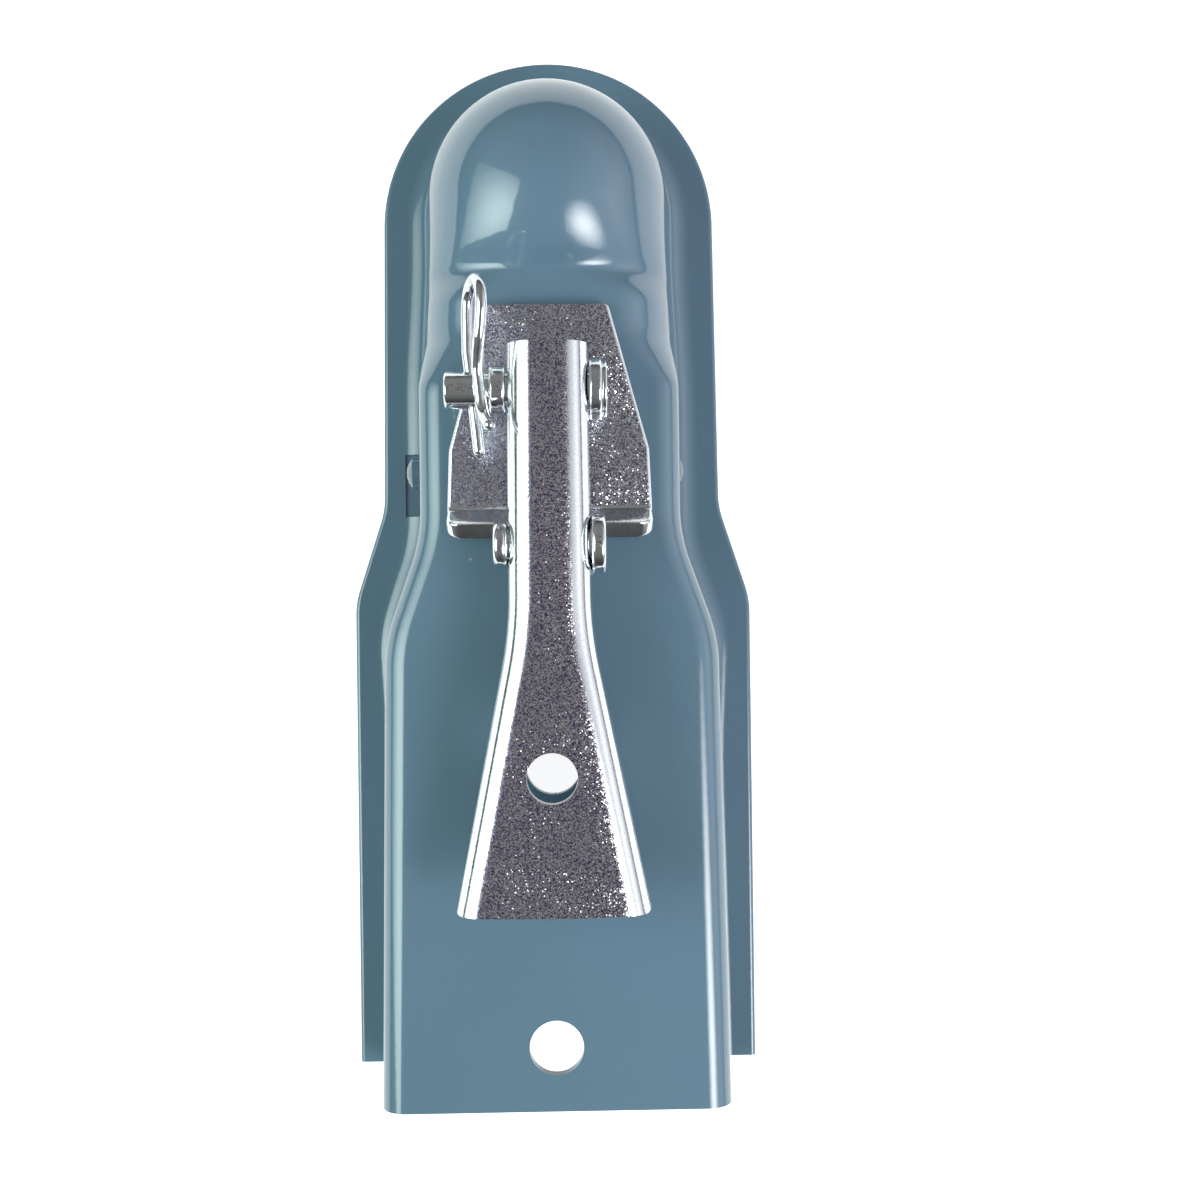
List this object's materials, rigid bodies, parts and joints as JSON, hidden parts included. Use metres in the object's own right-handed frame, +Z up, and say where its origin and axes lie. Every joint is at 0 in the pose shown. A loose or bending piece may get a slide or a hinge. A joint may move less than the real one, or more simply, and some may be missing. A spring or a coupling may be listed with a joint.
{
  "type": "trailer coupler",
  "caption": "Straight-tongue ball coupler: pressed steel shell with a ball dome, a channel that bolts over a trailer tongue, and a cam lever latch held by a hairpin clip.",
  "frame": {"origin": "middle of the footprint, on the plane under the flange", "axes": "+Y towards the nose of the ball dome, +Z up out of the top of the shell, +X to the right seen from above with the nose away"},
  "size_m": [0.105, 0.265, 0.0732],
  "materials": {
    "enamel": "glossy blue-grey enamel",
    "zinc_sheet": "bright zinc plate with a fine speckle",
    "zinc_pin": "bright zinc plate",
    "bright_wire": "polished",
    "zinc_bolt": "dull zinc plate",
    "spring_steel": "oiled spring steel"
  },
  "bodies": {
    "coupler": {"coupler_body": "enamel", "latch_plate": "zinc_sheet", "spring_washer": "zinc_bolt", "clamp_spring": "spring_steel"},
    "stem": {"draw_bolt": "zinc_bolt", "pivot_pin": "zinc_pin", "pin_washer": "zinc_pin", "nut_washer": "zinc_bolt", "lock_nut": "zinc_bolt"},
    "lever": {"lever": "zinc_sheet", "lever_rivet": "zinc_pin"},
    "clip": {"hairpin_clip": "bright_wire"},
    "clamp": {"ball_clamp": "enamel"}
  },
  "joints": [
    {"name": "lever_hinge", "type": "hinge", "parent": "stem", "child": "lever", "pos_m": [0, 0.0379, 0.06], "axis": [-1, 0, 0], "range_deg": [0, 75]},
    {"name": "stem_drop", "type": "slide", "parent": "coupler", "child": "stem", "axis": [0, 0, -1], "range_m": [0, 0.0014], "deforming": ["clamp_spring"]},
    {"name": "clamp_hinge", "type": "hinge", "parent": "coupler", "child": "clamp", "pos_m": [0, 0.0224, 0.018], "axis": [-1, 0, 0], "range_deg": [0, 3.4]},
    {"name": "clip_slide", "type": "slide", "parent": "stem", "child": "clip", "axis": [-0.1045, 0.9945, 0], "range_m": [0, 0.045]}
  ],
  "couplings": [
    {"joint": "stem_drop", "follows": "lever_hinge", "m_per_rad": 0.00103},
    {"joint": "clamp_hinge", "follows": "lever_hinge", "ratio": 0.044}
  ]
}
